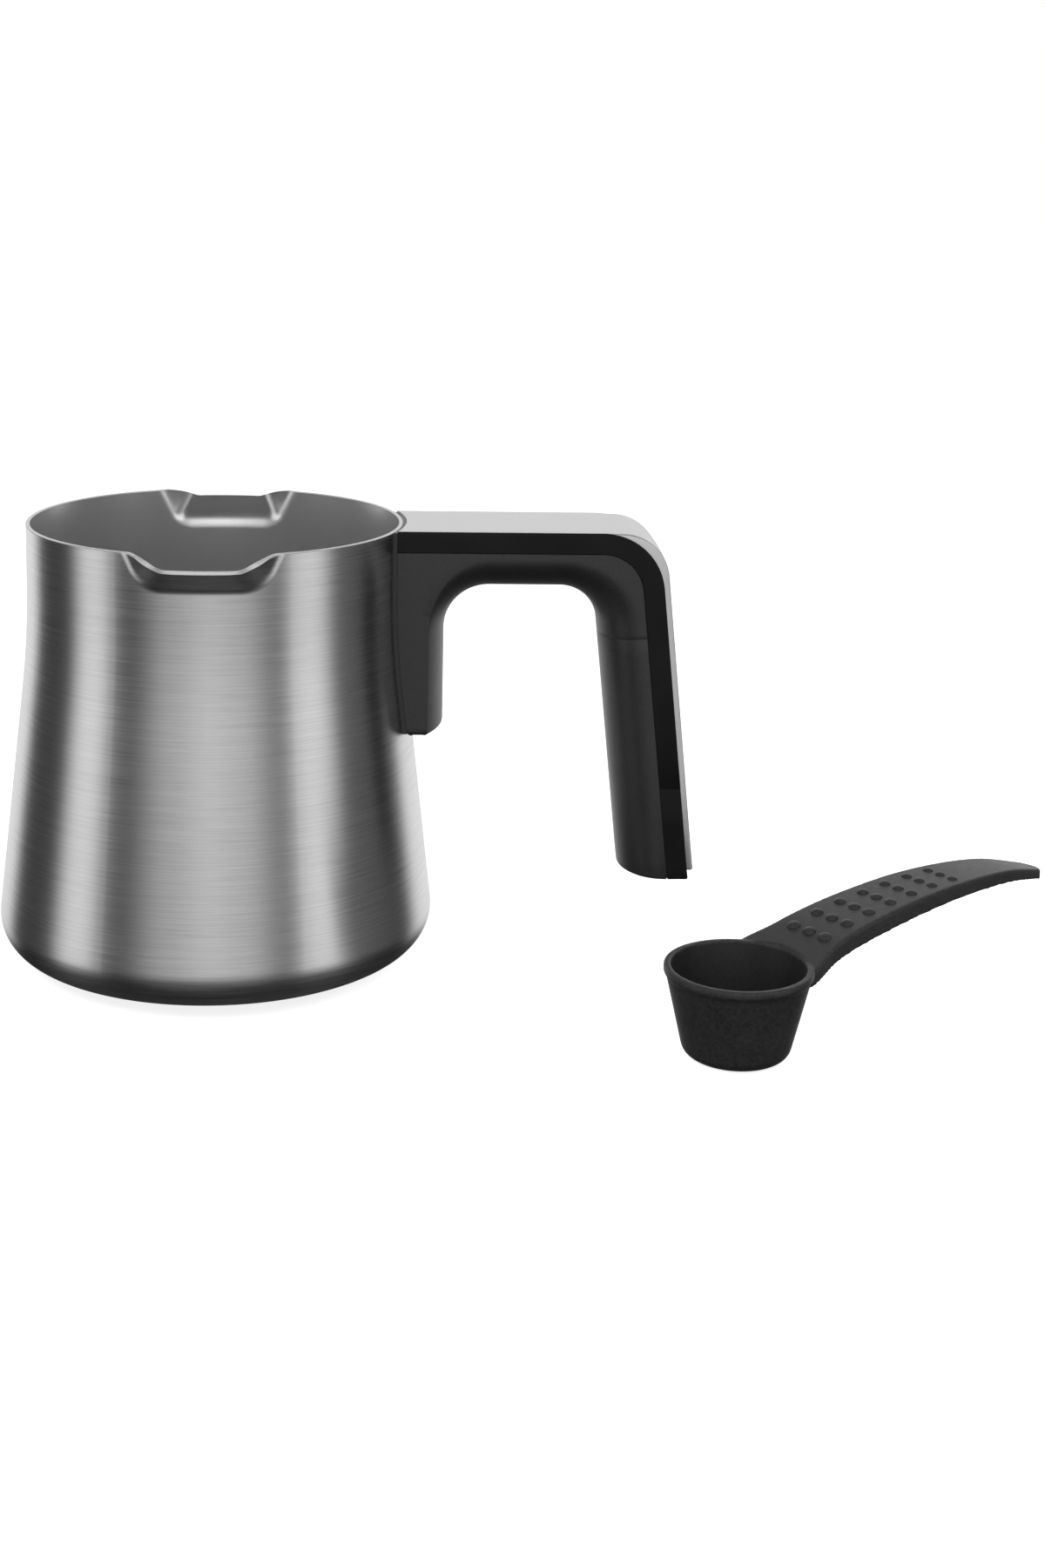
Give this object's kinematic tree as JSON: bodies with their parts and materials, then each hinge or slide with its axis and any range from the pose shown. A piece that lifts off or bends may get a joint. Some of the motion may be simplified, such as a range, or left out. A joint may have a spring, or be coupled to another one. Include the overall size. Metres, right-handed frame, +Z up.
{
  "type": "turkish coffee pot with scoop",
  "caption": "Stainless coffee pot with two pouring lips and a bent side handle in metal and plastic, with a loose measuring scoop.",
  "frame": {"origin": "centre of the pot's underside, on the surface it stands on", "axes": "+Z up along the pot's axis, +X towards the handle, the pouring lips at -Y and +Y"},
  "size_m": [0.2339, 0.1232, 0.0985],
  "materials": {
    "steel": "brushed round the pot outside, smooth satin inside",
    "aluminium": "plain rolled disc",
    "fittings": "zinc-plated steel",
    "gasket": "soft, matte",
    "matte_body": "fine matte grain",
    "gloss_band": "polished black",
    "satin_trim": "light satin silver",
    "scoop": "fine grain, raised domes on the handle"
  },
  "bodies": {
    "pot": {"pot_shell": "steel", "base_core": "aluminium", "base_cap": "steel", "handle_bracket": "fittings", "handle_gasket": "gasket", "foot_screw": "fittings", "foot_washer": "fittings", "foot_plug": "matte_body", "handle_body": "matte_body", "grip_inner": "matte_body", "handle_band": "gloss_band", "band_end_cap": "gloss_band", "top_trim": "satin_trim", "trim_pad_top": "gasket", "trim_pad_grip": "gasket", "handle_core": "fittings", "arch_screws": "fittings", "grip_screw": "fittings", "cap_screw": "fittings"},
    "scoop": {"scoop": "scoop"}
  },
  "joints": [
    {"name": "scoop_lift", "type": "slide", "parent": "pot", "child": "scoop", "axis": [0, 0, 1], "range_m": [0, 0.12]}
  ]
}
